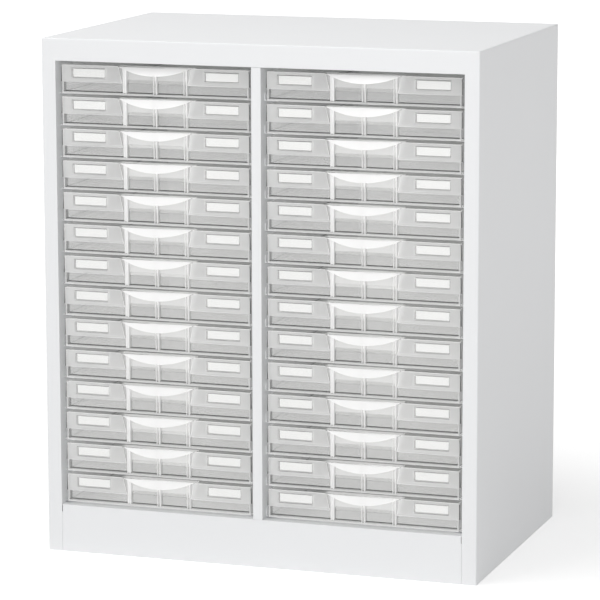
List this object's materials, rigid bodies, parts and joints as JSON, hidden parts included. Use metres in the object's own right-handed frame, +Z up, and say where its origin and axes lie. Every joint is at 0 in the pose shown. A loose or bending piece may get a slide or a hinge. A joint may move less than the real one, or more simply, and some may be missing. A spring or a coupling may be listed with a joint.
{
  "type": "shallow drawer cabinet",
  "caption": "Free-standing white steel document cabinet with two columns of shallow clear-plastic sliding drawers, hooded centre pulls, label pockets and a plain plinth.",
  "frame": {"origin": "on the floor, under the middle of the cabinet", "axes": "+Z up, +Y to the rear, +X to the right as seen from the front; drawers open along -Y"},
  "size_m": [0.605, 0.4, 0.7],
  "materials": {
    "cabinet_paint": "white powder coat, satin",
    "inner_paint": "white powder coat, satin",
    "label_card": "white card, matt",
    "clear_plastic": "clear moulded polystyrene, glossy"
  },
  "bodies": {
    "cabinet": {"outer_shell": "cabinet_paint", "back_panel": "cabinet_paint", "bottom_panel": "cabinet_paint", "kick_plate": "cabinet_paint", "centre_partition": "cabinet_paint", "left_runner_wall": "cabinet_paint", "right_runner_wall": "cabinet_paint", "runners_left_outer": "inner_paint", "runners_left_inner": "inner_paint", "runners_right_inner": "inner_paint", "runners_right_outer": "inner_paint"},
    "drawer_left_01": {"tray_left_01": "clear_plastic"},
    "drawer_left_02": {"tray_left_02": "clear_plastic"},
    "drawer_left_03": {"tray_left_03": "clear_plastic"},
    "drawer_left_04": {"tray_left_04": "clear_plastic"},
    "drawer_left_05": {"tray_left_05": "clear_plastic"},
    "drawer_left_06": {"tray_left_06": "clear_plastic"},
    "drawer_left_07": {"tray_left_07": "clear_plastic"},
    "drawer_left_08": {"tray_left_08": "clear_plastic"},
    "drawer_left_09": {"tray_left_09": "clear_plastic"},
    "drawer_left_10": {"tray_left_10": "clear_plastic"},
    "drawer_left_11": {"tray_left_11": "clear_plastic"},
    "drawer_left_12": {"tray_left_12": "clear_plastic"},
    "drawer_left_13": {"tray_left_13": "clear_plastic"},
    "drawer_left_14": {"tray_left_14": "clear_plastic"},
    "drawer_right_01": {"tray_right_01": "clear_plastic"},
    "drawer_right_02": {"tray_right_02": "clear_plastic"},
    "drawer_right_03": {"tray_right_03": "clear_plastic"},
    "drawer_right_04": {"tray_right_04": "clear_plastic"},
    "drawer_right_05": {"tray_right_05": "clear_plastic"},
    "drawer_right_06": {"tray_right_06": "clear_plastic"},
    "drawer_right_07": {"tray_right_07": "clear_plastic"},
    "drawer_right_08": {"tray_right_08": "clear_plastic"},
    "drawer_right_09": {"tray_right_09": "clear_plastic"},
    "drawer_right_10": {"tray_right_10": "clear_plastic"},
    "drawer_right_11": {"tray_right_11": "clear_plastic"},
    "drawer_right_12": {"tray_right_12": "clear_plastic"},
    "drawer_right_13": {"tray_right_13": "clear_plastic"},
    "drawer_right_14": {"tray_right_14": "clear_plastic"}
  },
  "joints": [
    {"name": "drawer_left_01_slide", "type": "slide", "parent": "cabinet", "child": "drawer_left_01", "axis": [0, -1, 0], "range_m": [0, 0.3]},
    {"name": "drawer_left_02_slide", "type": "slide", "parent": "cabinet", "child": "drawer_left_02", "axis": [0, -1, 0], "range_m": [0, 0.3]},
    {"name": "drawer_left_03_slide", "type": "slide", "parent": "cabinet", "child": "drawer_left_03", "axis": [0, -1, 0], "range_m": [0, 0.3]},
    {"name": "drawer_left_04_slide", "type": "slide", "parent": "cabinet", "child": "drawer_left_04", "axis": [0, -1, 0], "range_m": [0, 0.3]},
    {"name": "drawer_left_05_slide", "type": "slide", "parent": "cabinet", "child": "drawer_left_05", "axis": [0, -1, 0], "range_m": [0, 0.3]},
    {"name": "drawer_left_06_slide", "type": "slide", "parent": "cabinet", "child": "drawer_left_06", "axis": [0, -1, 0], "range_m": [0, 0.3]},
    {"name": "drawer_left_07_slide", "type": "slide", "parent": "cabinet", "child": "drawer_left_07", "axis": [0, -1, 0], "range_m": [0, 0.3]},
    {"name": "drawer_left_08_slide", "type": "slide", "parent": "cabinet", "child": "drawer_left_08", "axis": [0, -1, 0], "range_m": [0, 0.3]},
    {"name": "drawer_left_09_slide", "type": "slide", "parent": "cabinet", "child": "drawer_left_09", "axis": [0, -1, 0], "range_m": [0, 0.3]},
    {"name": "drawer_left_10_slide", "type": "slide", "parent": "cabinet", "child": "drawer_left_10", "axis": [0, -1, 0], "range_m": [0, 0.3]},
    {"name": "drawer_left_11_slide", "type": "slide", "parent": "cabinet", "child": "drawer_left_11", "axis": [0, -1, 0], "range_m": [0, 0.3]},
    {"name": "drawer_left_12_slide", "type": "slide", "parent": "cabinet", "child": "drawer_left_12", "axis": [0, -1, 0], "range_m": [0, 0.3]},
    {"name": "drawer_left_13_slide", "type": "slide", "parent": "cabinet", "child": "drawer_left_13", "axis": [0, -1, 0], "range_m": [0, 0.3]},
    {"name": "drawer_left_14_slide", "type": "slide", "parent": "cabinet", "child": "drawer_left_14", "axis": [0, -1, 0], "range_m": [0, 0.3]},
    {"name": "drawer_right_01_slide", "type": "slide", "parent": "cabinet", "child": "drawer_right_01", "axis": [0, -1, 0], "range_m": [0, 0.3]},
    {"name": "drawer_right_02_slide", "type": "slide", "parent": "cabinet", "child": "drawer_right_02", "axis": [0, -1, 0], "range_m": [0, 0.3]},
    {"name": "drawer_right_03_slide", "type": "slide", "parent": "cabinet", "child": "drawer_right_03", "axis": [0, -1, 0], "range_m": [0, 0.3]},
    {"name": "drawer_right_04_slide", "type": "slide", "parent": "cabinet", "child": "drawer_right_04", "axis": [0, -1, 0], "range_m": [0, 0.3]},
    {"name": "drawer_right_05_slide", "type": "slide", "parent": "cabinet", "child": "drawer_right_05", "axis": [0, -1, 0], "range_m": [0, 0.3]},
    {"name": "drawer_right_06_slide", "type": "slide", "parent": "cabinet", "child": "drawer_right_06", "axis": [0, -1, 0], "range_m": [0, 0.3]},
    {"name": "drawer_right_07_slide", "type": "slide", "parent": "cabinet", "child": "drawer_right_07", "axis": [0, -1, 0], "range_m": [0, 0.3]},
    {"name": "drawer_right_08_slide", "type": "slide", "parent": "cabinet", "child": "drawer_right_08", "axis": [0, -1, 0], "range_m": [0, 0.3]},
    {"name": "drawer_right_09_slide", "type": "slide", "parent": "cabinet", "child": "drawer_right_09", "axis": [0, -1, 0], "range_m": [0, 0.3]},
    {"name": "drawer_right_10_slide", "type": "slide", "parent": "cabinet", "child": "drawer_right_10", "axis": [0, -1, 0], "range_m": [0, 0.3]},
    {"name": "drawer_right_11_slide", "type": "slide", "parent": "cabinet", "child": "drawer_right_11", "axis": [0, -1, 0], "range_m": [0, 0.3]},
    {"name": "drawer_right_12_slide", "type": "slide", "parent": "cabinet", "child": "drawer_right_12", "axis": [0, -1, 0], "range_m": [0, 0.3]},
    {"name": "drawer_right_13_slide", "type": "slide", "parent": "cabinet", "child": "drawer_right_13", "axis": [0, -1, 0], "range_m": [0, 0.3]},
    {"name": "drawer_right_14_slide", "type": "slide", "parent": "cabinet", "child": "drawer_right_14", "axis": [0, -1, 0], "range_m": [0, 0.3]}
  ]
}
